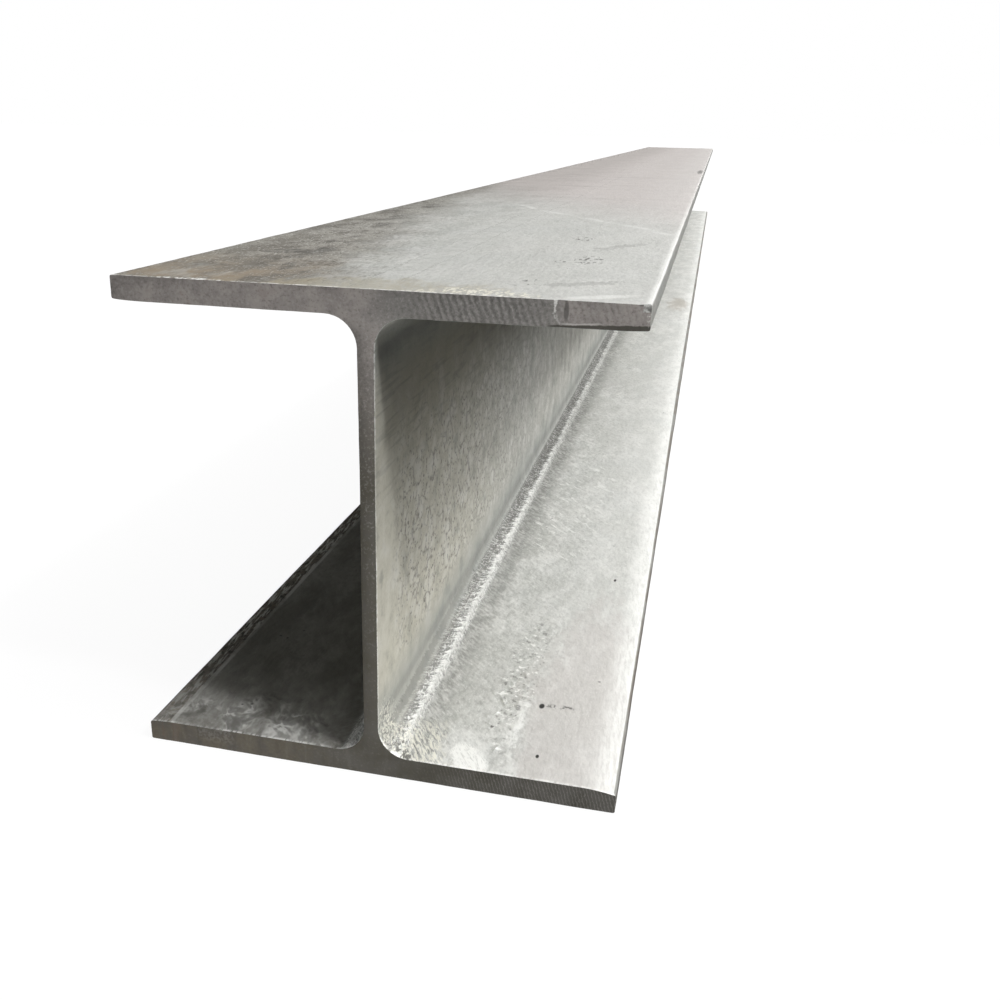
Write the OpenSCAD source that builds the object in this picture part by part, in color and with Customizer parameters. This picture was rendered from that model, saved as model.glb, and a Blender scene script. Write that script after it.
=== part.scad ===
// Wide-flange steel I-beam: one hot-rolled, hot-dip galvanised length with square sawn ends.
// The beam lies along Y on its lower flange. The origin is the middle of its underside.

/* [Section] */
// Depth over both flanges
section_depth = 300; // [150:1:500]
// Width of each flange
flange_width = 300; // [120:1:450]
// Thickness of each flange
flange_thickness = 15; // [8:0.5:36]
// Thickness of the web
web_thickness = 10; // [5:0.5:24]
// Radius of the root fillet between web and flange
root_radius = 18; // [6:0.5:28]
// Radius that the rolls leave on the corners of the flange tips
toe_radius = 1.6; // [0.5:0.1:3]

/* [Stock] */
// Length between the sawn ends
beam_length = 4500; // [1000:50:12000]

/* [Hidden] */

// Galvanised steel, as sRGB shares
zinc_grey = [0.66, 0.67, 0.65];

// Clear height of the web between the flanges
clear_depth = section_depth - 2 * flange_thickness;
// Height of the section's middle above its underside
mid_height = section_depth / 2;

$fn = 96;

// What a radius leaves of a square corner at the origin: the patch between both edges and the arc.
module corner_patch(radius) {
    difference() {
        square(radius);
        translate([radius, radius]) circle(radius);
    }
}

// Repeats its children on the left and right of the web.
module both_sides() {
    for (side = [0, 1]) mirror([side, 0]) children();
}

// Repeats its children above and below the middle of the section.
module both_flanges() {
    for (side = [0, 1]) mirror([0, side]) children();
}

// One flange, standing on the end of the web, with its tip corners rounded.
module flange() {
    translate([0, clear_depth / 2]) difference() {
        translate([-flange_width / 2, 0]) square([flange_width, flange_thickness]);
        both_sides() {
            translate([flange_width / 2, 0]) rotate(90) corner_patch(toe_radius);
            translate([flange_width / 2, flange_thickness]) rotate(180) corner_patch(toe_radius);
        }
    }
}

// The web, from flange to flange.
module web() {
    square([web_thickness, clear_depth], center = true);
}

// The four root fillets that blend the web into the flanges.
module root_fillets() {
    both_flanges() both_sides()
        translate([web_thickness / 2, clear_depth / 2]) mirror([0, 1]) corner_patch(root_radius);
}

// The rolled section, centred on the web.
module section() {
    web();
    both_flanges() flange();
    root_fillets();
}

// The whole beam: the section along its length, lying on its lower flange.
module i_beam() {
    color(zinc_grey)
        translate([0, 0, mid_height])
            rotate([90, 0, 0])
                linear_extrude(beam_length, center = true) section();
}

i_beam();
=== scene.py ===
import bpy
from math import cos, hypot, pi, radians, sin
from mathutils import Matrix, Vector
from random import Random


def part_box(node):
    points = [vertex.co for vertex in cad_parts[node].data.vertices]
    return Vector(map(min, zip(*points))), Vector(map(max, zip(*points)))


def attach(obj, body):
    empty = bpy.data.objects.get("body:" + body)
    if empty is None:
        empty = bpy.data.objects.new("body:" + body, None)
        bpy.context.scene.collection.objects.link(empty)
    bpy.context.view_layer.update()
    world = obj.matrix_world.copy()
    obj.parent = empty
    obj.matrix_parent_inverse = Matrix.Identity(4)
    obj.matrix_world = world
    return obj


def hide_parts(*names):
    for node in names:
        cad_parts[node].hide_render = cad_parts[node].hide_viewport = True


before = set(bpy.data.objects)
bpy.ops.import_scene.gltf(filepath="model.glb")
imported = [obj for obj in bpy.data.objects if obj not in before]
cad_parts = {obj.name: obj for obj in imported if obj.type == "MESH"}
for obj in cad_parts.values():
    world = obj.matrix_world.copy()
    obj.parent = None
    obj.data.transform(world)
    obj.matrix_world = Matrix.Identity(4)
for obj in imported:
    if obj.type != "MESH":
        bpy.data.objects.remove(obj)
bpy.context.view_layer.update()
low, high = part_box("i_beam")
nearEnd, farEnd = low.y, high.y  # the near end is the one the camera faces
print("frame loaded:", sorted(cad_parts))

# the rolled section in metres; its outside comes from the frame
beamSpec = {
    "name": "galvanised_beam",
    "flangeThickness": 0.015,
    "webThickness": 0.010,
    "rootRadius": 0.018,
    "rootSegments": 10,
    "toeRadius": 0.0016,
    "toeSegments": 3,
    "rimRound": 0.0006,  # broken edge round the sawn ends
    "rimSegments": 2,
    "smoothDeg": 35,
    # stations along the length: (from, to, step), measured from the near end
    "stations": [(0.0, 0.12, 0.003), (0.12, 0.45, 0.006), (0.45, 1.2, 0.015),
                 (1.2, 4.38, 0.04), (4.38, 4.5, 0.008)],
    "coarseLines": 0.02,  # spacing of the lines that run the whole length
    "middleLines": (0.45, 0.006),  # up to here from the near end, at this spacing
    "fineLines": (0.12, 0.003),
    "rootReach": 0.60,  # finer mesh in the lower right root, up to here
}
halfWeb = beamSpec["webThickness"] / 2
halfFlange = high.x
lowerInside = low.z + beamSpec["flangeThickness"]
upperInside = high.z - beamSpec["flangeThickness"]
rootX = halfWeb + beamSpec["rootRadius"]  # where the fillet runs out on the flange
rootLowZ = lowerInside + beamSpec["rootRadius"]  # and on the web
rootHighZ = upperInside - beamSpec["rootRadius"]


def restMode():
    if bpy.context.mode != "OBJECT":
        bpy.ops.object.mode_set(mode="OBJECT")


def pick(obj, kind, wanted):
    # selects the vertices, edges or faces that the test wants, and stays in edit mode
    bpy.ops.object.mode_set(mode="EDIT")
    bpy.ops.mesh.select_mode(type=kind)
    bpy.ops.mesh.select_all(action="DESELECT")
    bpy.ops.object.mode_set(mode="OBJECT")
    mesh = obj.data
    if kind == "VERT":
        for vertex in mesh.vertices:
            vertex.select = wanted(vertex.co)
    elif kind == "EDGE":
        for edge in mesh.edges:
            a, b = (mesh.vertices[i].co for i in edge.vertices)
            edge.select = wanted(a, b)
    else:
        for face in mesh.polygons:
            face.select = wanted(face.center, face.normal)
    bpy.ops.object.mode_set(mode="EDIT")


def cutLines(obj, axis, places, wanted):
    # cuts square to one axis, only through the faces that the test wants
    pick(obj, "FACE", wanted)
    bpy.ops.mesh.hide(unselected=True)
    square = [1.0 if name == axis else 0.0 for name in "XYZ"]
    for place in places:
        bpy.ops.mesh.select_all(action="SELECT")
        bpy.ops.mesh.bisect(plane_co=[place * s for s in square], plane_no=square)
    bpy.ops.mesh.reveal(select=False)
    restMode()


def spread(start, stop, step):
    # even places strictly between start and stop
    count = max(1, round((stop - start) / step))
    return [start + (stop - start) * i / count for i in range(1, count)]


def rollBeam():
    spec = beamSpec
    size = high - low
    bpy.ops.object.select_all(action="DESELECT")
    bpy.ops.mesh.primitive_cube_add(size=1, location=(low + high) / 2)
    beam = bpy.context.object
    beam.name = beam.data.name = spec["name"]
    beam.scale = (spec["webThickness"], size.y, size.z)
    bpy.ops.object.transform_apply(location=True, rotation=True, scale=True)

    # flanges: both ends of the web are drawn out to the tips
    cutLines(beam, "Z", [lowerInside, upperInside], lambda c, n: True)
    for side in (-1, 1):
        pick(beam, "FACE", lambda c, n: n.x * side > 0.9 and not lowerInside < c.z < upperInside)
        bpy.ops.mesh.extrude_region_move(
            TRANSFORM_OT_translate={"value": (side * (halfFlange - halfWeb), 0, 0)})
        restMode()

    # root fillets and rounded toes run the whole length
    def lengthwise(a, b, atX, heights):
        return (abs(a.y - b.y) > size.y / 2 and abs(abs(a.x) - atX) < 1e-5
                and any(abs(a.z - h) < 1e-5 for h in heights))
    pick(beam, "EDGE", lambda a, b: lengthwise(a, b, halfWeb, (lowerInside, upperInside)))
    bpy.ops.mesh.bevel(offset=spec["rootRadius"], segments=spec["rootSegments"], affect="EDGES")
    restMode()
    pick(beam, "EDGE", lambda a, b: lengthwise(a, b, halfFlange, (low.z, lowerInside, upperInside, high.z)))
    bpy.ops.mesh.bevel(offset=spec["toeRadius"], segments=spec["toeSegments"], affect="EDGES")
    bpy.ops.mesh.select_all(action="SELECT")
    bpy.ops.mesh.dissolve_limited(angle_limit=radians(0.1))  # each flat face in one piece again
    restMode()
    for place in (nearEnd, farEnd):
        pick(beam, "FACE", lambda c, n: abs(c.y - place) < 1e-5)
        bpy.ops.mesh.region_to_loop()
        bpy.ops.mesh.bevel(offset=spec["rimRound"], segments=spec["rimSegments"], affect="EDGES")
        restMode()
    return beam


def gridBeam(beam):
    # stations along the length, then lines across the flanges and up the web, closer towards the near end
    spec = beamSpec
    stations = [nearEnd + start for start, stop, step in spec["stations"][1:]]
    for start, stop, step in spec["stations"]:
        stations += [nearEnd + y for y in spread(start, stop, step)]
    cutLines(beam, "Y", sorted(stations), lambda c, n: True)
    done = set()
    for reach, step in [(10.0, spec["coarseLines"]), spec["middleLines"], spec["fineLines"]]:
        across = spread(rootX, halfFlange - spec["toeRadius"], step) + [rootX]
        up = spread(rootLowZ, rootHighZ, step)
        tall = spread(low.z + spec["toeRadius"], lowerInside - spec["toeRadius"], step)
        tall += [high.z - z for z in tall]
        fresh = [("X", side * x) for x in across for side in (-1, 1)] + [("Z", z) for z in up + tall]
        for axis in "XZ":
            places = [p for a, p in fresh if a == axis and (a, round(p, 5)) not in done]
            cutLines(beam, axis, places, lambda c, n: c.y < nearEnd + reach)
        done |= {(a, round(p, 5)) for a, p in fresh}

    # the lower right root carries the coarsest zinc, so its stations are closer still
    def inRoot(c, n):
        across = halfWeb < c.x < rootX + 0.003
        return across and lowerInside - 1e-3 < c.z < rootLowZ and c.y < nearEnd + spec["rootReach"]
    pick(beam, "FACE", inRoot)
    bpy.ops.mesh.subdivide(number_cuts=1)
    restMode()


def weigh(beam, name, weightAt):
    # a vertex group with a weight for each place
    group = beam.vertex_groups.new(name=name)
    for vertex in beam.data.vertices:
        weight = weightAt(vertex.co)
        if weight > 0:
            group.add([vertex.index], min(1.0, weight), "REPLACE")


def displace(beam, group, strength, midLevel=0.0, direction="NORMAL", grain=None, depth=2):
    # a Displace modifier on a weighted group, with a cloud texture where a grain size is given
    modifier = beam.modifiers.new("relief", "DISPLACE")
    modifier.strength, modifier.mid_level = strength, midLevel
    modifier.direction = direction
    if group:
        modifier.vertex_group = group
    if grain:
        texture = bpy.data.textures.new("clouds", "CLOUDS")
        texture.noise_scale, texture.noise_depth = grain, depth
        modifier.texture, modifier.texture_coords = texture, "LOCAL"
    bpy.context.view_layer.objects.active = beam
    bpy.ops.object.modifier_apply(modifier=modifier.name)


def ease(value, start, stop):
    t = min(1.0, max(0.0, (value - start) / (stop - start)))
    return t * t * (3 - 2 * t)


# runs of zinc on the lower right flange, near the end
dripSpec = {
    "rows": (0.066, 0.079),  # across from the web's middle
    "reach": (0.016, 0.205),  # from the near end
    "first": 0.050,
    "margin": 0.012,  # closer mesh this far round them
    # two that stand alone: across, along, turn, half length, half width, share of the height
    "alone": [(0.080, 0.056, 0.0, 0.040, 0.0036, 0.32), (0.0727, 0.025, 0.32, 0.0060, 0.0014, 0.9)],
    "spacing": 0.010,
    "gap": (0.4, 1.6),  # times the spacing
    "stray": (-0.007, 0.006),  # off the row
    "turn": (-1.2, 0.7),
    "share": (0.4, 1.0),
    "halfLength": (0.003, 0.010),
    "halfWidth": (0.0010, 0.0024),
    "height": 0.0012,
    "seed": 7,
}
# the rest of the zinc's relief: heights, and the grain size of what is lumpy
reliefSpec = {
    "wrinkle": 0.0010,
    "wrinkleGrain": 0.0036,
    "ridge": 0.0004,
    "bead": 0.0006,
    "beadFromWeb": 0.0158,
    "rootLumps": 0.0016,
    "rootGrain": 0.0038,
    "lesserRoots": 0.4,  # all but the lower right one
    "endClear": 0.0015,
    "wave": 0.0007,
    "waveGrain": 0.11,
    "peel": 0.00022,
    "peelGrain": 0.009,
}
# worn toes: how far the inner face falls, and over what width
toeSpec = {
    "rightFall": 0.0021,
    "rightWidth": 0.020,
    "leftFall": 0.0012,
    "leftWidth": 0.015,
    "upperFall": 0.0008,
    "curve": 1.7,
}
# torn corner of the upper flange at the near end
tornSpec = {
    "from": 0.1005,
    "setBack": 0.0009,
    "chamfer": 0.0036,
    "slope": 0.45,
    "height": (0.0014, 0.0036),  # of the dark strip under the end, at its start and at the tip
    "chip": 0.0040,
    "chipWidth": 0.008,
    "chipGrain": 0.003,
}


def zincRelief(beam):
    spec, relief = dripSpec, reliefSpec
    dice = Random(spec["seed"])
    drips = []
    for row in spec["rows"]:
        y = spec["first"]
        while y < spec["reach"][1]:
            drips.append({
                "x": row + dice.uniform(*spec["stray"]), "y": nearEnd + y,
                "turn": dice.uniform(*spec["turn"]),
                "long": dice.uniform(*spec["halfLength"]), "wide": dice.uniform(*spec["halfWidth"]),
                "share": dice.uniform(*spec["share"])})
            y += spec["spacing"] * dice.uniform(*spec["gap"])
    for x, y, turn, long, wide, share in spec["alone"]:
        drips.append({"x": x, "y": nearEnd + y, "turn": turn, "long": long, "wide": wide, "share": share})

    # closer mesh where the runs stand
    start = nearEnd + spec["reach"][0] - spec["margin"]
    stop = nearEnd + spec["reach"][1] + spec["margin"]
    left, right = spec["rows"][0] - spec["margin"], spec["rows"][1] + spec["margin"]

    def underRuns(co):
        return start < co.y < stop and left < co.x < right and abs(co.z - lowerInside) < 1e-4
    pick(beam, "FACE", lambda c, n: underRuns(c))
    bpy.ops.mesh.subdivide(number_cuts=2)
    restMode()

    def dripWeight(co):
        if not underRuns(co):
            return 0.0
        best = 0.0
        for drip in drips:
            dx, dy = co.x - drip["x"], co.y - drip["y"]
            along = dy * cos(drip["turn"]) + dx * sin(drip["turn"])
            across = dx * cos(drip["turn"]) - dy * sin(drip["turn"])
            best = max(best, drip["share"] * (1 - hypot(along / drip["long"], across / drip["wide"])))
        return best

    def wrinkleWeight(co):
        if not underRuns(co):
            return 0.0
        middle = (left + right) / 2
        across = 1 - ease(abs(co.x - middle), 0.002, right - middle)
        return across * ease(co.y, start + 0.03, start + 0.07) * ease(co.y, stop, stop - 0.04)

    def clearOfEnds(co):
        return min(co.y - nearEnd, farEnd - co.y) > relief["endClear"]

    def rootWeight(co):
        # strongest in the lower right root, where the zinc ran together
        inside = halfWeb + 0.002 < abs(co.x) < rootX + 0.0005
        nearFlange = low.z + 0.012 < co.z < rootLowZ or rootHighZ < co.z < high.z - 0.012
        if not inside or not nearFlange or not clearOfEnds(co):
            return 0.0
        strong = 1.0 if co.x > 0 and co.z < 0.1 else relief["lesserRoots"]
        return strong * ease(abs(co.x), halfWeb + 0.002, 0.014) * (1 - 0.6 * ease(co.y - nearEnd, 0.4, 2.0))

    def beadWeight(co):
        # a raised line where the root runs out on the lower right flange
        if co.x < 0 or co.z > 0.05 or not clearOfEnds(co) or co.z < low.z + 0.012:
            return 0.0
        return 1 - ease(abs(co.x - relief["beadFromWeb"]), 0.0005, 0.0040)

    def toeWeight(side, width, upper):
        def weight(co):
            height = (high.z - co.z if upper else co.z - low.z) / beamSpec["flangeThickness"]
            if co.x * side < halfFlange - width or not 0.0 < height < 1.05:
                return 0.0
            return height * ((co.x * side - halfFlange + width) / width) ** toeSpec["curve"]
        return weight

    def ridgeWeight(co):
        # a thin line along the inner edge of the lower left toe
        if abs(co.z - lowerInside) > 3e-3 or co.x > 0:
            return 0.0
        return 1 - ease(abs(co.x + halfFlange - toeSpec["leftWidth"]), 0.0004, 0.0035)

    weigh(beam, "drips", dripWeight)
    weigh(beam, "wrinkles", wrinkleWeight)
    weigh(beam, "roots", rootWeight)
    weigh(beam, "bead", beadWeight)
    weigh(beam, "ridge", ridgeWeight)
    weigh(beam, "rightToe", toeWeight(1, toeSpec["rightWidth"], False))
    weigh(beam, "leftToe", toeWeight(-1, toeSpec["leftWidth"], False))
    weigh(beam, "upperRightToe", toeWeight(1, toeSpec["leftWidth"], True))
    weigh(beam, "upperLeftToe", toeWeight(-1, toeSpec["leftWidth"], True))
    displace(beam, "drips", spec["height"])
    displace(beam, "wrinkles", relief["wrinkle"], 0.45, grain=relief["wrinkleGrain"], depth=1)
    displace(beam, "ridge", relief["ridge"])
    displace(beam, "rightToe", -toeSpec["rightFall"], direction="Z")
    displace(beam, "leftToe", -toeSpec["leftFall"], direction="Z")
    displace(beam, "upperRightToe", toeSpec["upperFall"], direction="Z")
    displace(beam, "upperLeftToe", toeSpec["upperFall"], direction="Z")
    displace(beam, "bead", relief["bead"])
    displace(beam, "roots", relief["rootLumps"], 0.4, grain=relief["rootGrain"])
    # mill waves and orange peel, only ever inwards
    displace(beam, None, relief["wave"], 1.0, grain=relief["waveGrain"])
    displace(beam, None, relief["peel"], 1.0, grain=relief["peelGrain"])
    beam.vertex_groups.clear()


def tearCorner(beam):
    # the saw broke out at the right of the upper flange: the end steps back there, its lower edge is torn
    # to a chamfer, and the top corner is chipped
    spec = tornSpec
    stripTop = upperInside + spec["chamfer"]
    cutLines(beam, "Z", [stripTop], lambda c, n: c.y < nearEnd + 0.004 and c.x > spec["from"] - 0.004)

    def stepWeight(co):
        if co.z < upperInside - 0.001 or co.y > nearEnd + 0.0025:
            return 0.0
        return ease(co.x + 0.15 * (co.z - high.z), spec["from"] - 0.0008, spec["from"] + 0.0008)

    def chamferWeight(co):
        if co.x < spec["from"] - 0.004 or not upperInside - 0.001 <= co.z <= stripTop:
            return 0.0
        wanted = nearEnd + spec["setBack"] + spec["slope"] * (stripTop - co.z)
        share = (wanted - co.y) / (spec["slope"] * spec["chamfer"])
        return share * ease(co.x, spec["from"] - 0.004, spec["from"] + 0.003)

    def chipWeight(co):
        if co.y > nearEnd + 0.004 or co.z < upperInside:
            return 0.0
        fromCorner = hypot(co.x - halfFlange, (co.z - high.z) * 1.3)
        return 1 - ease(fromCorner, 0.001, spec["chipWidth"])

    weigh(beam, "step", stepWeight)
    displace(beam, "step", spec["setBack"], direction="Y")
    weigh(beam, "chamfer", chamferWeight)
    displace(beam, "chamfer", spec["slope"] * spec["chamfer"], direction="Y")
    weigh(beam, "chip", chipWeight)
    displace(beam, "chip", spec["chip"], direction="Y", grain=spec["chipGrain"])
    beam.vertex_groups.clear()


beam = rollBeam()
print("rolled section:", len(beam.data.polygons), "faces")
gridBeam(beam)
print("grid laid:", len(beam.data.polygons), "faces")
zincRelief(beam)
tearCorner(beam)
beam.data.calc_loop_triangles()
print("zinc relief:", len(beam.data.loop_triangles), "triangles")


tree = None  # the node tree that the helpers below add to


def addNode(kind, sockets=None, **settings):
    # one node; a socket's value is either a number or colour, or another node's output to link
    node = tree.nodes.new("ShaderNode" + kind)
    for name, value in settings.items():
        setattr(node, name, value)
    for name, value in (sockets or {}).items():
        if isinstance(value, bpy.types.NodeSocket):
            tree.links.new(value, node.inputs[name])
        else:
            node.inputs[name].default_value = value
    return node


def startMaterial(name):
    # a fresh material with Object coordinates moved to the near end, split in three
    global tree
    material = bpy.data.materials.new(name)
    material.use_nodes = True
    tree = material.node_tree
    where = addNode("TexCoord").outputs["Object"]
    place = addNode("Mapping", {"Vector": where, "Location": (0, -nearEnd, 0)}).outputs[0]
    split = addNode("SeparateXYZ", {0: place})
    return material, place, split.outputs


def calc(operation, a, b=0.0):
    return addNode("Math", {0: a, 1: b}, operation=operation).outputs[0]


def apart(a, b):
    return calc("ABSOLUTE", calc("SUBTRACT", a, b))


def sway(pattern, amount):
    # a pattern swung about zero, to shift a border with
    return calc("MULTIPLY", calc("SUBTRACT", pattern, 0.5), amount)


def step(value, start, stop, bottom=0.0, top=1.0):
    # soft step from bottom to top as the value goes from start to stop
    if stop < start:
        start, stop, bottom, top = stop, start, top, bottom
    return addNode("MapRange", {
        "Value": value, "From Min": start, "From Max": stop, "To Min": bottom, "To Max": top},
        interpolation_type="SMOOTHSTEP").outputs["Result"]


def both(*masks):
    total = masks[0]
    for mask in masks[1:]:
        total = calc("MULTIPLY", total, mask)
    return total


def stretch(vector, longer=(1, 1, 1), turnDeg=(0, 0, 0), centre=(0, 0, 0)):
    # a pattern drawn out along its own axes, then turned about a centre
    return addNode("Mapping", {
        "Vector": vector, "Scale": longer, "Rotation": [radians(d) for d in turnDeg], "Location": centre},
        vector_type="TEXTURE").outputs[0]


def noise(vector, scale, detail=4.0, rough=0.55, distort=0.0):
    return addNode("TexNoise", {
        "Vector": vector, "Scale": scale, "Detail": detail, "Roughness": rough,
        "Distortion": distort}).outputs[0]


def tint(factor, under, over):
    # over laid on under by the factor
    mix = addNode("Mix", {0: factor, 6: under, 7: over}, data_type="RGBA")
    return mix.outputs[2]


def lay(color, over, *masks):
    # another colour over the first, where all the masks meet
    return tint(both(*masks), color, over)


def patch(place, centre, radius, rough=None, ragged=0.0, turnDeg=0.0, fade=0.6):
    # a blotch of the given radii round a place on the beam, its edge broken by a rough pattern
    local = stretch(place, radius, (0, 0, turnDeg), centre)
    away = addNode("VectorMath", {0: local}, operation="LENGTH").outputs["Value"]
    if rough:
        away = addNode("Math", {0: rough, 1: ragged * 2, 2: away}, operation="MULTIPLY_ADD").outputs[0]
        away = calc("SUBTRACT", away, ragged)
    return step(away, 1.05, fade)


zincSpec = {
    "plain": (0.50, 0.505, 0.475, 1),
    "pale": (0.66, 0.66, 0.63, 1),
    "smooth": (0.605, 0.605, 0.575, 1),
    "bloomAndHighlight": (0.90, 0.90, 0.87, 1),
    "dark": (0.185, 0.185, 0.170, 1),
    "deep": (0.085, 0.083, 0.075, 1),
    "sootAndShade": (0.170, 0.156, 0.132, 1),
    "stain": (0.188, 0.160, 0.120, 1),
    "pit": (0.030, 0.029, 0.027, 1),
    "pink": (0.60, 0.540, 0.522, 1),
    "tan": (0.310, 0.252, 0.185, 1),
    "olive": (0.360, 0.320, 0.225, 1),
    "cream": (0.84, 0.82, 0.72, 1),
    "rust": (0.120, 0.085, 0.055, 1),
    "coolGrey": (0.43, 0.455, 0.45, 1),
    "bandGrey": (0.312, 0.324, 0.308, 1),
    "warmGrey": (0.575, 0.545, 0.435, 1),
    "metallic": 0.30,
    "roughness": (0.68, 0.54),
    "rootShine": 0.10,
    # across the root, distance from the web's plane plus height from the middle
    "rootRunOut": 0.158,
    "rootCrest": 0.1495,
    # how far each pattern stands up in the bump
    "grainRelief": 0.00032,
    "mottleRelief": 0.00110,
    "strokeRelief": 0.00130,
}


def zincPatterns(place, x, y, z):
    # what the zones below share: where each face is, and a few noises from large to fine
    fromWeb = calc("ABSOLUTE", x)
    fromMiddle = apart(z, (low.z + high.z) / 2)
    clearHalf = (upperInside - lowerInside) / 2
    inside = step(fromMiddle, clearHalf + 0.004, clearHalf + 0.002)
    acrossRoot = calc("ADD", fromWeb, fromMiddle)
    at = {
        "place": place, "x": x, "y": y, "z": z,
        "fromWeb": fromWeb, "fromMiddle": fromMiddle, "inside": inside, "acrossRoot": acrossRoot,
        "onTop": step(z, high.z - 0.003, high.z - 0.0015),
        "onWeb": both(step(fromWeb, 0.012, 0.007), inside),
        "low": step(z, 0.060, 0.045),
        "rightSide": step(x, -0.001, 0.001),
        "cloud": noise(place, 8.0, 3, 0.6),
    }
    # on the flanges the grain is drawn out along the beam
    drawn = stretch(place, (1.0, 2.6, 1.0))
    face = step(fromWeb, 0.0104, 0.0096)
    grainPlace = addNode("Mix", {0: face, 4: drawn, 5: place}, data_type="VECTOR").outputs[1]
    at["mottle"] = noise(grainPlace, 40.0, 4, 0.64)
    at["grain"] = noise(grainPlace, 330.0, 2, 0.7)
    at["fleck"] = noise(grainPlace, 900.0, 1, 0.5)
    at["onFlange"] = both(step(fromWeb, 0.016, 0.022), inside, step(fromMiddle, 0.125, 0.131))
    return at


def zincSkin(at):
    # cloudy dull zinc with fine grain and bright flecks, the ground for all faces
    spec = zincSpec
    color = tint(step(at["mottle"], 0.36, 0.64), spec["plain"], spec["pale"])
    color = lay(color, spec["coolGrey"], step(at["cloud"], 0.55, 0.35, 0.0, 0.18))
    color = lay(color, spec["dark"], step(at["grain"], 0.56, 0.34, 0.0, 0.30))
    return lay(color, spec["bloomAndHighlight"], step(at["fleck"], 0.58, 0.72, 0.0, 0.34))


# marks on the top: across, along from the near end, half width, half length, and a turn where there is one
topMarks = {
    "smudges": [(-0.118, 0.058, 0.017, 0.010), (-0.062, 0.088, 0.018, 0.012), (-0.100, 0.139, 0.016, 0.014)],
    "dashRows": [(0.078, 0.295, 0.011, 0.018), (0.098, 0.166, 0.013, 0.026),
                 (0.082, 0.150, 0.006, 0.010), (0.078, 0.057, 0.006, 0.014)],
    "drags": [(0.112, 0.252, 0.007, 0.044, -32), (0.106, 0.058, 0.008, 0.030, -56)],
    "scuff": (0.122, 0.017, 0.006, 0.026, -58),
    "chip": (0.142, 1.69, 0.006, 0.12),
    "frontTan": (0.000, 0.0, 0.085, 0.040),
    "frontCream": (0.058, 0.006, 0.034, 0.018),
}


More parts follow.
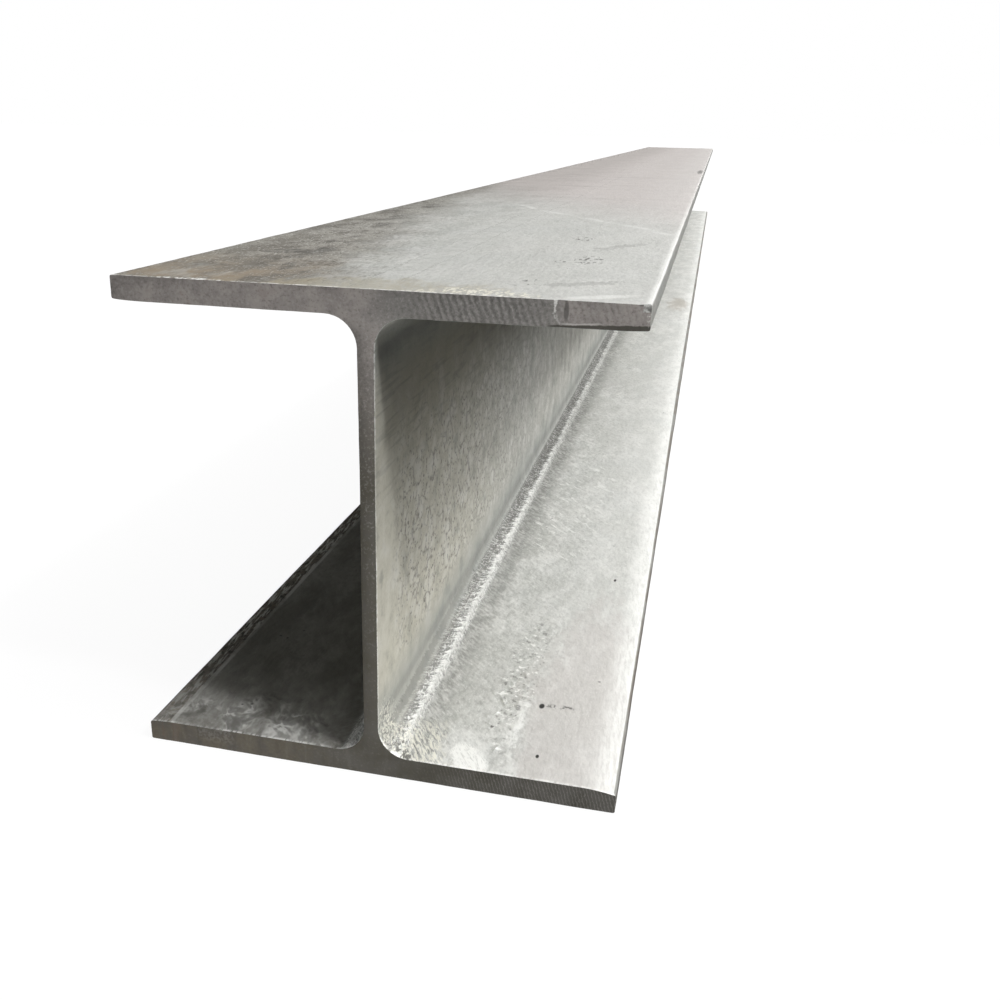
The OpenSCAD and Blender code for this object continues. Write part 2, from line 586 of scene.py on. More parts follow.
def topFace(at, color):
    spec, x, y, place = zincSpec, at["x"], at["y"], at["place"]

    def mark(spot, rough, ragged):
        across, along, wide, long, *turn = spot
        blotch = patch(place, (across, along, high.z), (wide, long, 0.02), rough, ragged, *turn)
        return both(blotch, at["onTop"])

    # warm far part beyond a faint slanting tide line
    slant = calc("ADD", calc("MULTIPLY", x, 1.46), y)
    slant = calc("ADD", slant, calc("MULTIPLY", at["cloud"], 0.08))
    color = lay(color, spec["pink"], step(slant, 0.50, 0.95), at["onTop"], 0.70)
    line = step(apart(slant, 0.605), 0.012, 0.002)
    line = both(line, at["onTop"], step(x, -0.06, -0.03), step(at["mottle"], 0.36, 0.56, 0.2, 1.0))
    color = lay(color, spec["bloomAndHighlight"], line, 0.50)
    bands = noise(stretch(place, (3.0, 1.0, 1.0)), 24.0, 3, 0.65)
    bands = both(at["onTop"], step(slant, 0.56, 0.80), step(bands, 0.46, 0.76))
    color = lay(color, spec["dark"], bands, step(x, 0.14, -0.10, 0.10, 0.32))
    farLeft = both(at["onTop"], step(slant, 0.45, 0.75), step(x, 0.02, -0.09), 0.10)
    color = lay(color, spec["sootAndShade"], farLeft)

    smooth = both(step(x, -0.04, 0.03), at["onTop"], step(slant, 0.80, 0.54, 0.10, 0.42))
    color = lay(color, spec["smooth"], smooth)
    color = lay(color, spec["bloomAndHighlight"], step(x, 0.060, 0.130), at["onTop"], 0.12)

    # dark blotches on the left, their border drifting off the beam, with grit and bright flecks between them
    blots = noise(stretch(place, (0.9, 1.9, 1.0)), 34.0, 3, 0.70)
    gritty = calc("ADD", blots, sway(at["grain"], 0.36))
    border = calc("ADD", x, calc("MULTIPLY", y, 0.125))
    border = calc("ADD", border, sway(at["cloud"], 0.09))
    border = calc("ADD", border, sway(gritty, 0.10))
    smear = both(step(border, -0.002, -0.062), at["onTop"])
    leftEdge = both(at["onTop"], step(x, -0.100, -0.140), step(y, 0.25, 0.42), step(y, 1.1, 0.75), 0.32)
    color = lay(color, spec["sootAndShade"], leftEdge)
    fringe = both(smear, step(border, -0.095, -0.050))
    color = lay(color, spec["sootAndShade"], step(x, 0.02, -0.1), at["onTop"], 0.15)
    color = lay(color, spec["stain"], smear, step(y, 0.5, 0.02, 0.36, 0.60))
    color = lay(color, spec["sootAndShade"], smear, step(gritty, 0.44, 0.58), 0.62)
    color = lay(color, spec["deep"], smear, step(at["grain"], 0.46, 0.34), 0.48)
    color = lay(color, spec["deep"], fringe, step(gritty, 0.50, 0.64), 0.62)
    color = lay(color, spec["bloomAndHighlight"], smear, step(at["fleck"], 0.61, 0.69), 0.42)

    for spot in topMarks["smudges"]:
        color = lay(color, spec["deep"], mark(spot, gritty, 1.4), step(at["grain"], 0.60, 0.40, 0.25, 0.60))

    # stains along the near edge: brown on the left, tan by the web, flaky cream on the right
    corner = both(step(y, 0.140, 0.010), step(x, -0.010, -0.080), at["onTop"])
    color = lay(color, spec["tan"], corner, step(gritty, 0.62, 0.38, 0.18, 0.92))
    color = lay(color, spec["smooth"], corner, step(at["mottle"], 0.50, 0.64), 0.40)
    frontTan = mark(topMarks["frontTan"], blots, 1.2)
    color = lay(color, spec["olive"], frontTan, step(at["grain"], 0.3, 0.6, 0.15, 0.55))
    frontCream = mark(topMarks["frontCream"], blots, 1.0)
    color = lay(color, spec["cream"], frontCream, step(at["grain"], 0.46, 0.58), 0.90)

    # short dark dashes in loose rows on the right, two grey drags beside them and a dark chip far along
    dashes = noise(stretch(place, (1.0, 3.0, 1.0)), 430.0, 1, 0.5)
    for spot in topMarks["dashRows"]:
        color = lay(color, spec["deep"], mark(spot, at["grain"], 0.4), step(dashes, 0.58, 0.64), 0.80)
    for spot in topMarks["drags"]:
        color = lay(color, spec["dark"], mark(spot, at["grain"], 1.0), 0.26)
    color = lay(color, spec["bloomAndHighlight"], mark(topMarks["scuff"], at["grain"], 0.6), 0.45)
    color = lay(color, spec["deep"], mark(topMarks["chip"], at["grain"], 0.9), 0.66)
    # pale zinc along the rounded right edge, with a painted highlight on it
    rightEdge = step(x, halfFlange - 0.0045, halfFlange - 0.002)
    rightEdge = both(rightEdge, at["onTop"], step(y, 0.9, 0.2, 0.30, 0.65),
                     step(at["mottle"], 0.3, 0.5, 0.6, 1.0))
    return lay(color, spec["bloomAndHighlight"], rightEdge)


def webFaces(at, color):
    spec, y, z, place = zincSpec, at["y"], at["z"], at["place"]
    # painted shade towards the top, under the upper flange, lighter near the end where the light reaches in;
    # long rolling streaks there, and warmer near the end
    underFlangeShade = both(at["onWeb"], step(z, 0.14, 0.26, 0.25, 0.88), step(y, 0.015, 0.09, 0.25, 1.10))
    color = lay(color, spec["sootAndShade"], underFlangeShade)
    color = lay(color, spec["warmGrey"], at["onWeb"], step(y, 0.5, 0.03, 0.08, 0.60))
    color = lay(color, spec["sootAndShade"], at["onWeb"], step(y, 0.40, 0.90), step(z, 0.065, 0.110, 0.0, 0.40))
    streaks = noise(stretch(place, (1.0, 14.0, 1.0)), 260.0, 2, 0.6)
    streaks = both(at["onWeb"], step(z, 0.14, 0.21), step(streaks, 0.52, 0.66))
    color = lay(color, spec["deep"], streaks, 0.24)

    # pale cells with broken dark joints, strongest near the end
    wobble = addNode("TexNoise", {"Vector": place, "Scale": 90.0, "Detail": 1.0}).outputs["Color"]
    bent = addNode("VectorMath", {0: wobble, 1: (0.014, 0.014, 0.014), 2: place},
                   operation="MULTIPLY_ADD").outputs[0]
    bent = stretch(bent, (1.0, 1.25, 0.95))
    cells = addNode("TexVoronoi", {"Vector": bent, "Scale": 82.0}, feature="DISTANCE_TO_EDGE")
    cells = cells.outputs["Distance"]
    joints = both(step(cells, 0.13, 0.015), step(at["grain"], 0.38, 0.56), step(at["mottle"], 0.43, 0.58))
    grit = noise(stretch(place, (1.0, 1.6, 1.6)), 430.0, 2, 0.6)
    zone = both(at["onWeb"], step(y, 0.02, 0.06), step(y, 0.8, 0.2, 0.35, 1.0),
                step(at["fromMiddle"], 0.106, 0.080), step(z, 0.235, 0.165, 0.15, 1.0))
    color = lay(color, spec["pale"], zone, step(cells, 0.05, 0.40), 0.34)
    color = lay(color, spec["sootAndShade"], zone, joints, 0.88)
    color = lay(color, spec["deep"], zone, step(grit, 0.57, 0.67), 0.72)

    clouded = both(at["onWeb"], step(z, 0.24, 0.16, 0.3, 1.0))
    color = lay(color, spec["pale"], clouded, step(at["mottle"], 0.52, 0.68), 0.30)
    color = lay(color, spec["dark"], clouded, step(at["mottle"], 0.46, 0.30), 0.42)

    # a smooth cool band over the root
    band = both(at["onWeb"], step(at["fromMiddle"], 0.084, 0.114), step(at["mottle"], 0.3, 0.6, 1.0, 0.75))
    color = lay(color, spec["bandGrey"], band, 0.85)
    dip = both(at["onWeb"], step(at["fromMiddle"], 0.107, 0.1130), step(at["fromMiddle"], 0.1190, 0.1160))
    return lay(color, spec["dark"], dip, 0.32)


def rootTicks(at):
    # short strokes that fall away from the root's crest on both sides
    fromCrest = apart(at["acrossRoot"], zincSpec["rootCrest"])
    slant = calc("ADD", at["y"], calc("MULTIPLY", fromCrest, 0.9))
    squeezed = calc("MULTIPLY", at["acrossRoot"], 0.40)
    side = calc("MULTIPLY", at["z"], 0.05)
    strokes = addNode("CombineXYZ", {0: slant, 1: squeezed, 2: side}).outputs[0]
    return noise(strokes, 330.0, 3, 0.80)


def roots(at, color, ticks):
    # across each root, from web to flange: a dark line of painted shade, a strip of strokes with painted
    # glints, a bright crest and a second thin line of painted highlight, then a feathery dark skirt on the
    # flange; duller with distance
    spec = zincSpec
    feathered = calc("ADD", at["acrossRoot"], sway(ticks, 0.012))
    away = calc("SUBTRACT", feathered, spec["rootRunOut"])
    strong = both(at["inside"], step(at["low"], 0.0, 1.0, 0.45, 1.0), step(at["fromMiddle"], 0.102, 0.110),
                  step(at["fromWeb"], 0.052, 0.040))
    farther = step(at["y"], 0.05, 0.80)

    def fade(near, far):
        return step(farther, 0.0, 1.0, near, far)

    widened = calc("ADD", away, step(at["y"], 0.05, 0.30, 0.0, 0.0080))  # the strip spreads up the web side
    line = both(strong, step(widened, -0.032, -0.029), step(widened, -0.0205, -0.0235))
    strip = both(strong, step(widened, -0.0220, -0.0160), step(away, -0.0025, -0.0040))
    lip = both(strong, step(widened, -0.0245, -0.0225), step(widened, -0.0185, -0.0205))
    webSide = both(strip, step(away, -0.0105, -0.0135))
    crest = both(strong, step(away, -0.0122, -0.0100), step(away, -0.0055, -0.0072))
    second = both(strong, step(away, -0.0053, -0.0046), step(away, -0.0028, -0.0036))
    skirt = both(strong, step(away, -0.0035, -0.0010), step(away, 0.020, 0.003))
    # painted shade: the dark line, and the web side of the strip
    color = lay(color, spec["dark"], line, step(at["y"], 0.05, 0.30, 0.55, 0.25))
    color = lay(color, spec["dark"], strip, step(ticks, 0.55, 0.42), fade(0.74, 0.96))
    color = lay(color, spec["dark"], webSide, fade(0.34, 1.0))
    color = lay(color, spec["deep"], webSide, step(ticks, 0.56, 0.42), fade(0.16, 1.0))
    color = lay(color, spec["pale"], lip, step(at["y"], 0.10, 0.30), 0.12)
    # painted glints on the strip's strokes
    color = lay(color, spec["bloomAndHighlight"], strip, step(ticks, 0.55, 0.62), fade(0.50, 0.32))
    color = lay(color, spec["bloomAndHighlight"], strip, step(at["fleck"], 0.58, 0.66), fade(0.65, 0.40))
    color = lay(color, spec["dark"], skirt, step(ticks, 0.44, 0.56, 0.34, 1.0), fade(0.60, 1.0))
    # painted highlight along the crest and the second thin line
    color = lay(color, spec["bloomAndHighlight"], crest, step(at["grain"], 0.36, 0.54, 0.30, 1.0),
                step(at["y"], 0.35, 0.85, 0.50, 0.06))
    color = lay(color, spec["bloomAndHighlight"], second, step(ticks, 0.36, 0.54), fade(0.60, 0.20))
    return color, strip


# pits: across, along from the near end, half width, half length
flangePits = [(0.0925, 0.080, 0.0022, 0.0036), (0.099, 0.024, 0.0013, 0.0022),
              (0.1209, 0.2886, 0.0013, 0.0030)]


def lowerFlange(at, color):
    spec, x, y, place = zincSpec, at["x"], at["y"], at["place"]
    face = both(at["onFlange"], at["low"])
    rightFace = both(face, at["rightSide"])
    # soft grey clouds towards the root, a warm area near the end
    clouds = both(rightFace, step(at["cloud"], 0.45, 0.62), step(at["mottle"], 0.40, 0.60),
                  step(x, 0.115, 0.050))
    color = lay(color, spec["dark"], clouds, 0.28)
    # painted shade in the corner by the root, deepening further along
    rootShade = both(rightFace, step(x, 0.056, 0.026), step(y, 0.02, 0.40, 0.08, 0.26))
    color = lay(color, spec["dark"], rootShade)
    # painted light: brighter towards the toe, which more of the light reaches
    color = lay(color, spec["bloomAndHighlight"], rightFace, step(x, 0.030, 0.135, 0.05, 0.34))
    frost = noise(stretch(place, (1.0, 3.4, 1.0), (0, 0, 42)), 430.0, 3, 0.70)
    frosted = both(rightFace, step(x, 0.120, 0.060, 0.25, 1.0))
    color = lay(color, spec["dark"], frosted, step(frost, 0.48, 0.34), 0.24)
    color = lay(color, spec["bloomAndHighlight"], frosted, step(frost, 0.54, 0.66), 0.28)
    dull = patch(place, (0.092, 0.000, lowerInside), (0.045, 0.055, 0.02), at["mottle"], 0.6)
    color = lay(color, spec["dark"], rightFace, dull, 0.12)
    farStain = patch(place, (0.117, 1.75, lowerInside), (0.024, 0.090, 0.02), at["mottle"], 0.8)
    color = lay(color, spec["tan"], rightFace, farStain, 0.40)
    warm = patch(place, (0.116, 0.060, lowerInside), (0.040, 0.190, 0.03), at["mottle"], 0.8)
    color = lay(color, spec["pink"], rightFace, warm, 0.30)
    # painted shade over the left lower flange, which lies in the shadow of the web and the upper flange
    shadedLeftFace = both(face, step(x, 0.001, -0.001))
    color = lay(color, spec["sootAndShade"], shadedLeftFace, step(at["mottle"], 0.35, 0.62, 0.64, 0.54))
    # hair-thin bright wisps
    curls = noise(stretch(place, (1.0, 2.2, 1.0), (0, 0, 30)), 60.0, 3, 0.65)
    wisps = step(apart(curls, 0.5), 0.060, 0.002)
    wisps = both(wisps, step(at["mottle"], 0.46, 0.62))
    color = lay(color, spec["bloomAndHighlight"], face, wisps, step(x, -0.001, 0.001, 0.10, 0.30))
    flakes = noise(stretch(place, (1.0, 3.2, 1.0), (0, 0, 40)), 150.0, 3, 0.70, 0.6)
    flaky = patch(place, (0.068, 0.440, lowerInside), (0.046, 0.170, 0.02), at["mottle"], 0.6)
    color = lay(color, spec["bloomAndHighlight"], rightFace, flaky, step(flakes, 0.56, 0.66), 0.60)
    smoke = noise(stretch(place, (1.0, 1.6, 1.0), (0, 0, 35)), 66.0, 3, 0.66, 0.4)
    nearLeft = patch(place, (-0.085, 0.000, lowerInside), (0.090, 0.052, 0.02), smoke, 0.6)
    veins = step(apart(smoke, 0.53), 0.070, 0.004)
    color = lay(color, spec["deep"], shadedLeftFace, nearLeft, step(smoke, 0.50, 0.34), 0.55)
    color = lay(color, spec["bloomAndHighlight"], shadedLeftFace, nearLeft, veins, step(at["mottle"], 0.46, 0.64, 0.08, 0.70))
    # wrinkled ground round the runs
    runs = patch(place, (0.073, 0.110, lowerInside), (0.016, 0.115, 0.02), at["mottle"], 0.5)
    rough = noise(place, 210.0, 2, 0.6)
    color = lay(color, spec["deep"], rightFace, runs, step(rough, 0.57, 0.67), 0.50)
    color = lay(color, spec["bloomAndHighlight"], rightFace, runs, step(rough, 0.42, 0.33), 0.85)
    streak = patch(place, (0.080, 0.056, lowerInside), (0.0046, 0.044, 0.01), rough, 1.2)
    color = lay(color, spec["bloomAndHighlight"], rightFace, streak, step(at["grain"], 0.40, 0.56, 0.15, 0.50))
    # torn bright zinc in the corner by the end, and one thick pale patch
    corner = patch(place, (0.024, 0.004, lowerInside + 0.004), (0.036, 0.044, 0.03), at["mottle"], 0.9)
    corner = both(corner, at["inside"], at["rightSide"])
    torn = noise(stretch(place, (1.0, 5.0, 1.0), (0, 0, 30)), 620.0, 3, 0.75, 0.6)
    color = lay(color, spec["cream"], corner, step(torn, 0.44, 0.60), 0.70)
    color = lay(color, spec["dark"], corner, step(torn, 0.47, 0.38), 0.50)
    crumbs = patch(place, (0.017, 0.008, lowerInside + 0.004), (0.013, 0.012, 0.02), torn, 0.6)
    crumbs = both(crumbs, at["inside"], at["rightSide"])
    color = lay(color, spec["deep"], crumbs, step(at["grain"], 0.48, 0.38), 0.80)
    pale = patch(place, (0.0590, 0.0110, lowerInside), (0.0105, 0.0180, 0.01), torn, 0.6, 35, 0.86)
    color = lay(color, spec["bloomAndHighlight"], rightFace, pale, step(torn, 0.38, 0.50, 0.30, 0.92))
    # single pits, one of them with a row of specks beside it
    for pitX, pitY, wide, long in flangePits:
        color = lay(color, spec["pit"], patch(place, (pitX, pitY, lowerInside), (wide, long, 0.01)))
    row = patch(place, (0.1055, 0.0815, lowerInside), (0.015, 0.0034, 0.01), rough, 0.8)
    color = lay(color, spec["deep"], rightFace, row, step(rough, 0.48, 0.58), 0.85)
    # worn toes: nearly white on the right, worn pale zinc with a painted highlight where the toe catches the
    # light; brown on the left
    edge = calc("ADD", x, sway(at["mottle"], 0.016))
    rightToe = both(step(edge, halfFlange - 0.024, halfFlange - 0.006), at["inside"], at["low"],
                    step(y, 2.0, 0.3, 0.5, 1.0))
    strokes = noise(stretch(place, (1.0, 7.0, 1.0), (0, 0, 4)), 420.0, 2, 0.65)
    color = lay(color, spec["bloomAndHighlight"], rightToe, step(strokes, 0.34, 0.60, 0.22, 0.68))
    bead = toeSpec["leftWidth"] - halfFlange
    leftToe = both(step(x, bead + 0.001, bead - 0.002), at["inside"], at["low"],
                   step(y, 0.01, 0.12, 0.45, 1.0))
    color = lay(color, spec["rust"], leftToe, step(at["mottle"], 0.35, 0.58, 0.45, 0.62))
    color = lay(color, spec["pit"], leftToe, step(rough, 0.50, 0.62), 0.62)
    color = lay(color, spec["tan"], leftToe, step(rough, 0.44, 0.32), 0.60)
    color = lay(color, spec["pale"], leftToe, step(strokes, 0.48, 0.60), 0.80)
    line = both(step(apart(x, bead), 0.0022, 0.0008), at["inside"], at["low"])
    return lay(color, spec["bloomAndHighlight"], line, step(at["mottle"], 0.42, 0.60, 0.20, 0.60))


def edgeWear(at, color):
    spec = zincSpec
    # scattered specks in loose groups
    spots = addNode("TexVoronoi", {"Vector": at["place"], "Scale": 150.0})
    chosen = step(addNode("SeparateXYZ", {0: spots.outputs["Color"]}).outputs[0], 0.80, 0.83)
    groups = step(noise(stretch(at["place"], (1.4, 0.6, 1.0)), 12.0, 1), 0.58, 0.66)
    specks = both(step(spots.outputs["Distance"], 0.22, 0.12), chosen, groups)
    color = lay(color, spec["deep"], specks, 0.75)
    # dull brown tips, and a broken bright rim round the sawn ends: bright zinc with a painted highlight
    # along the edge
    worn = calc("ADD", at["fromWeb"], both(at["low"], step(at["y"], 0.2, 1.2, 0.0, 0.0025)))
    tips = step(worn, halfFlange - 0.0022, halfFlange - 0.0014)
    tips = both(tips, step(at["fromMiddle"], 0.1495, 0.1480))
    color = lay(color, spec["dark"], tips, step(at["low"], 0.0, 1.0, 0.30, 0.82))
    color = lay(color, spec["rust"], tips, step(at["mottle"], 0.40, 0.62),
                step(at["low"], 0.0, 1.0, 0.15, 0.50))
    stripTop = upperInside + tornSpec["chamfer"]
    torn = both(step(at["x"], tornSpec["from"] - 0.003, tornSpec["from"]), step(at["y"], 0.0042, 0.0034),
                step(at["z"], stripTop + 0.0006, stripTop), step(at["z"], 0.20, 0.21))
    fromEnd = calc("MINIMUM", at["y"], calc("SUBTRACT", farEnd - nearEnd, at["y"]))
    rim = both(step(fromEnd, 0.0034, 0.0009), step(at["grain"], 0.38, 0.54),
               step(at["mottle"], 0.40, 0.56, 0.35, 1.0))
    color = lay(color, spec["bloomAndHighlight"], rim, 0.85)
    # painted highlight: bright flecks along the top front edge
    flecks = patch(at["place"], (-0.100, 0.001, high.z), (0.026, 0.006, 0.004), at["grain"], 0.3)
    color = lay(color, spec["bloomAndHighlight"], flecks, step(at["grain"], 0.47, 0.55))
    # painted shade on the torn strip under the end, which faces down
    color = lay(color, spec["deep"], torn, 0.90)
    chip = patch(at["place"], (halfFlange, 0.0, high.z), (0.007, 0.0055, 0.006), at["grain"], 0.5)
    return lay(color, spec["deep"], chip, 0.75)


def dullZinc():
    spec = zincSpec
    material, place, (x, y, z) = startMaterial("dull_zinc")
    at = zincPatterns(place, x, y, z)
    ticks = rootTicks(at)
    color = zincSkin(at)
    color = topFace(at, color)
    color = webFaces(at, color)
    color, brightRoot = roots(at, color, ticks)
    color = lowerFlange(at, color)
    color = edgeWear(at, color)

    shine = step(at["mottle"], 0.3, 0.7, *spec["roughness"])
    shine = calc("SUBTRACT", shine, calc("MULTIPLY", brightRoot, spec["rootShine"]))
    relief = calc("MULTIPLY", at["grain"], spec["grainRelief"])
    relief = calc("ADD", relief, calc("MULTIPLY", at["mottle"], spec["mottleRelief"]))
    relief = calc("ADD", relief, both(brightRoot, ticks, spec["strokeRelief"]))
    bump = addNode("Bump", {"Height": relief, "Distance": 1.0, "Strength": 1.0}).outputs[0]
    shader = tree.nodes["Principled BSDF"]
    shader.inputs["Metallic"].default_value = spec["metallic"]
    tree.links.new(color, shader.inputs["Base Color"])
    tree.links.new(shine, shader.inputs["Roughness"])
    tree.links.new(bump, shader.inputs["Normal"])
    return material


sawnSpec = {
    "fresh": (0.420, 0.384, 0.361, 1),
    "oily": (0.215, 0.212, 0.198, 1),
    "lowTone": (0.104, 0.095, 0.071, 1),
    "oilDarkAndShade": (0.050, 0.047, 0.034, 1),
    "ridge": (0.50, 0.47, 0.45, 1),
    "groove": (0.100, 0.093, 0.086, 1),
    "brown": (0.16, 0.105, 0.075, 1),
    "brownGrey": (0.215, 0.184, 0.136, 1),
    "bright": (0.80, 0.79, 0.76, 1),
    "metallic": 0.30,
    "roughness": (0.42, 0.6),
    # how far each pattern stands up in the bump
    "grainRelief": 0.00014,
    "sawRelief": 0.00028,
    "fineRelief": 0.00012,
    "sawPitch": 0.0036,  # coarse marks on the upper flange
    "sawTurnDeg": 20.0,
    "finePitch": 0.0020,  # fine ones on the lower flange
    "fineTurnDeg": 16.0,
}


def sawnSteel():
    spec = sawnSpec
    material, place, (x, y, z) = startMaterial("sawn_steel")
    blotches = noise(place, 45.0, 4, 0.62)
    grain = noise(place, 560.0, 2, 0.7)
    # darker towards the bottom
    color = tint(step(z, high.z + 0.008, low.z + 0.18), spec["fresh"], spec["lowTone"])
    brownSide = both(step(x, 0.0, -0.08), step(z, 0.03, 0.015), step(blotches, 0.35, 0.6, 0.3, 1.0))
    color = lay(color, spec["brownGrey"], brownSide, 0.55)
    darkSide = both(step(x, -0.06, 0.14), step(z, 0.06, 0.015), 0.72)
    color = lay(color, spec["oilDarkAndShade"], darkSide)
    color = lay(color, spec["groove"], step(blotches, 0.62, 0.38, 0.0, 0.40))
    oily = both(step(x, -0.01, 0.025), step(x, 0.112, 0.098), step(z, rootHighZ, upperInside))
    color = lay(color, spec["oily"], oily, 0.75)
    specks = both(step(grain, 0.52, 0.72), step(z, 0.02, 0.28, 0.06, 0.36))
    color = lay(color, spec["ridge"], specks)
    color = lay(color, spec["groove"], step(grain, 0.48, 0.28, 0.0, 0.42))

    # slanted saw marks on the right of the upper flange, and finer upright ones on the lower
    def sawMarks(pitch, turn):
        lines = addNode("TexWave", {
            "Vector": stretch(place, turnDeg=(0, -turn, 0)), "Scale": 2 * pi / 20 / pitch,
            "Distortion": 3.4, "Detail": 2.0, "Detail Scale": 2.6, "Detail Roughness": 0.75},
            bands_direction="X").outputs["Fac"]
        return calc("ADD", calc("MULTIPLY", lines, 0.5), calc("MULTIPLY", grain, 0.5))
    coarse = sawMarks(spec["sawPitch"], spec["sawTurnDeg"])
    coarseZone = both(step(x, 0.015, 0.045), step(z, upperInside - 0.01, upperInside),
                      step(x, 0.080, 0.104, 1.0, 0.40))
    fine = sawMarks(spec["finePitch"], spec["fineTurnDeg"])
    fineZone = both(step(x, 0.02, 0.08), step(z, lowerInside + 0.01, lowerInside), 0.6)
    for marks, zone in ((coarse, coarseZone), (fine, fineZone)):
        color = lay(color, spec["ridge"], step(marks, 0.54, 0.76), zone, 0.26)
        color = lay(color, spec["groove"], step(marks, 0.46, 0.24), zone, 0.40)

    # brown streaks at the lower left, rusty spots at the upper left
    streaks = noise(stretch(place, (1, 1, 8)), 170.0, 2)
    brown = both(step(x, -0.115, -0.145), step(z, 0.03, 0.01), step(streaks, 0.45, 0.60))
    color = lay(color, spec["brown"], brown, 0.55)
    lowLeft = both(step(x, 0.04, -0.03), step(z, 0.03, 0.012))
    color = lay(color, spec["oilDarkAndShade"], lowLeft, step(streaks, 0.47, 0.30), 0.24)
    color = lay(color, spec["ridge"], lowLeft, step(streaks, 0.56, 0.72), 0.06)
    wisps = patch(place, (-0.104, 0.0, 0.0095), (0.014, 0.01, 0.006), blotches, 0.8)
    color = lay(color, spec["ridge"], wisps, step(grain, 0.44, 0.56), 0.13)
    spots = both(step(x, -0.02, -0.12), step(z, 0.27, 0.28), step(blotches, 0.58, 0.66))
    color = lay(color, spec["brown"], spots, 0.55)

    # the bright broken edge where the end steps back, a dent beside it, painted shade on the torn strip that
    # faces down, and a painted highlight as a light lip over it
    edge = calc("ADD", x, calc("MULTIPLY", calc("SUBTRACT", z, high.z), 0.15))
    jagged = noise(place, 190.0, 2, 0.7)
    edge = calc("ADD", edge, sway(jagged, 0.009))
    edge = step(apart(edge, tornSpec["from"]), 0.0010, 0.0003)
    edge = both(edge, step(z, upperInside + 0.002, high.z - 0.003, 0.25, 1.0),
                step(z, upperInside - 0.004, upperInside), step(grain, 0.35, 0.50, 0.4, 1.0))
    color = lay(color, spec["bright"], edge, 0.9)
    dent = patch(place, (tornSpec["from"] + 0.0065, 0.0, high.z - 0.006), (0.0016, 0.01, 0.0062),
                 jagged, 0.4)
    color = lay(color, spec["groove"], dent, 0.7)
    overStrip = calc("SUBTRACT", z, step(x, tornSpec["from"], halfFlange, *tornSpec["height"]))
    overStrip = calc("ADD", overStrip, sway(jagged, 0.0016))
    torn = both(step(overStrip, upperInside + 0.0004, upperInside - 0.0002), step(z, 0.20, 0.21),
                step(x, tornSpec["from"] - 0.004, tornSpec["from"]))
    # painted shade on the downward-facing torn strip
    color = lay(color, spec["oilDarkAndShade"], torn, 0.92)
    # painted highlight along the lip
    lip = step(apart(overStrip, upperInside + 0.0008), 0.0006, 0.0001)
    lip = both(lip, step(x, 0.103, 0.108), step(x, 0.132, 0.116))
    color = lay(color, spec["bright"], lip, 0.45)

    # chipped top corner: a dark notch with bright flecks down the edge
    notch = patch(place, (halfFlange, 0.0, high.z), (0.008, 0.01, 0.0045), jagged, 0.6)
    color = lay(color, spec["groove"], notch, 0.85)
    flecks = patch(place, (halfFlange - 0.0005, 0.0, high.z - 0.007), (0.0026, 0.01, 0.007), grain, 0.5)
    flecks = both(flecks, step(grain, 0.55, 0.62))
    color = lay(color, spec["bright"], flecks, 0.9)

    relief = calc("MULTIPLY", grain, spec["grainRelief"])
    relief = calc("ADD", relief, both(coarse, coarseZone, spec["sawRelief"]))
    relief = calc("ADD", relief, both(fine, fineZone, spec["fineRelief"]))
    bump = addNode("Bump", {"Height": relief, "Distance": 1.0, "Strength": 1.0}).outputs[0]
    shader = tree.nodes["Principled BSDF"]
    shader.inputs["Metallic"].default_value = spec["metallic"]
    tree.links.new(color, shader.inputs["Base Color"])
    tree.links.new(step(blotches, 0.3, 0.7, *spec["roughness"]), shader.inputs["Roughness"])
    tree.links.new(bump, shader.inputs["Normal"])
    return material


def dressBeam(beam):
    beam.data.materials.append(dullZinc())
    beam.data.materials.append(sawnSteel())
    for face in beam.data.polygons:
        atEnd = min(abs(face.center.y - nearEnd), abs(face.center.y - farEnd)) < 0.002
        face.material_index = 1 if atEnd and abs(face.normal.y) > 0.85 else 0
    restMode()
    bpy.ops.object.select_all(action="DESELECT")
    beam.select_set(True)
    bpy.context.view_layer.objects.active = beam
    bpy.ops.object.shade_smooth_by_angle(angle=radians(beamSpec["smoothDeg"]))


dressBeam(beam)
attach(beam, "root")
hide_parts("i_beam")
print("beam dressed")

stageSpec = {
    "floorSize": 80.0,
    "floorColor": (0.08, 0.08, 0.08, 1.0),
    "floorGlow": 0.94,
    "floorRoughness": 0.9,
    "dim": 0.02,  # what the dome gives where no softbox is
    # name: (points towards, half angle in degrees of the bright core, of the faded rim, strength)
    "softboxes": {
        "right": ((1.00, 0.12, 1.06), 5, 32, 8.55),
        "frontRight": ((0.94, -0.32, 1.20), 1.2, 3.5, 190.0),
        "overhead": ((0.10, -0.10, 0.98), 5, 16, 6.8),
        "back": ((0.30, 0.85, 0.42), 8, 30, 1.0),
        "left": ((-0.92, 0.30, 0.04), 5, 18, 4.8),
        "lowFront": ((0.0, -0.80, -0.60), 10, 50, 1.85),
    },
}
cameraSpec = {
    "place": (0.1747, -2.7488, 0.3826),
    "turnDeg": (72.108, -1.109, 13.094),
    "sensor": 36.0,
    "lens": 36.015,
    "shift": (0.02396, -0.05191),
    "nearest": 0.01,
}


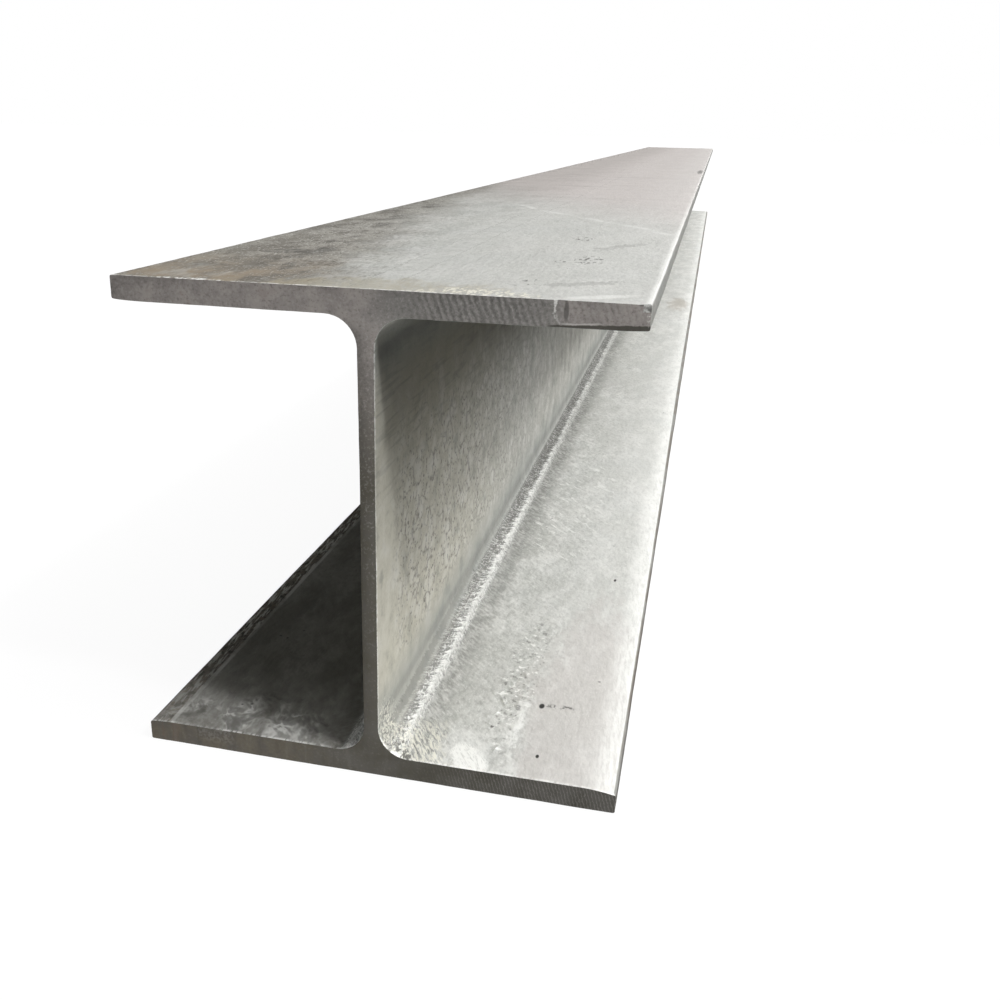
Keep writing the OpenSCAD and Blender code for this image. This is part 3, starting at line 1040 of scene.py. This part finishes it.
def setFloor():
    bpy.ops.object.select_all(action="DESELECT")
    bpy.ops.mesh.primitive_plane_add(size=stageSpec["floorSize"], location=(0, 0, low.z))
    floor = bpy.context.object
    floor.name = "pale_floor"
    paint = bpy.data.materials.new("floor_paint")
    paint.use_nodes = True
    shader = paint.node_tree.nodes["Principled BSDF"]
    shader.inputs["Base Color"].default_value = stageSpec["floorColor"]
    shader.inputs["Roughness"].default_value = stageSpec["floorRoughness"]
    shader.inputs["Specular IOR Level"].default_value = 0.0
    shader.inputs["Emission Color"].default_value = (1, 1, 1, 1)
    shader.inputs["Emission Strength"].default_value = stageSpec["floorGlow"]
    floor.data.materials.append(paint)
    floor.visible_diffuse = floor.visible_glossy = False  # the floor throws no light back up


def setLight():
    # a dim dome with soft bright areas in it, and plain white behind
    global tree
    world = bpy.data.worlds.new("studio")
    world.use_nodes = True
    tree = world.node_tree
    tree.nodes.clear()
    towards = addNode("TexCoord").outputs["Generated"]
    total = stageSpec["dim"]
    for way, core, rim, strength in stageSpec["softboxes"].values():
        facing = addNode("VectorMath", {0: towards, 1: Vector(way).normalized()}, operation="DOT_PRODUCT")
        box = step(facing.outputs["Value"], cos(radians(rim)), cos(radians(core)), 0.0, strength)
        total = calc("ADD", total, box)
    light = addNode("Background", {"Strength": total})
    backdrop = addNode("Background", {"Strength": 1.0, "Color": (1, 1, 1, 1)})
    seen = addNode("LightPath").outputs["Is Camera Ray"]
    mixed = addNode("MixShader", {0: seen, 1: light.outputs[0], 2: backdrop.outputs[0]})
    addNode("OutputWorld", {"Surface": mixed.outputs[0]})
    bpy.context.scene.world = world
    bpy.context.scene.view_settings.view_transform = "Standard"


def setCamera():
    bpy.ops.object.camera_add(location=cameraSpec["place"],
                              rotation=[radians(d) for d in cameraSpec["turnDeg"]])
    camera = bpy.context.object
    camera.data.sensor_width = cameraSpec["sensor"]
    camera.data.lens = cameraSpec["lens"]
    camera.data.shift_x, camera.data.shift_y = cameraSpec["shift"]
    camera.data.clip_start = cameraSpec["nearest"]
    bpy.context.scene.camera = camera


setFloor()
setLight()
setCamera()
print("stage set")
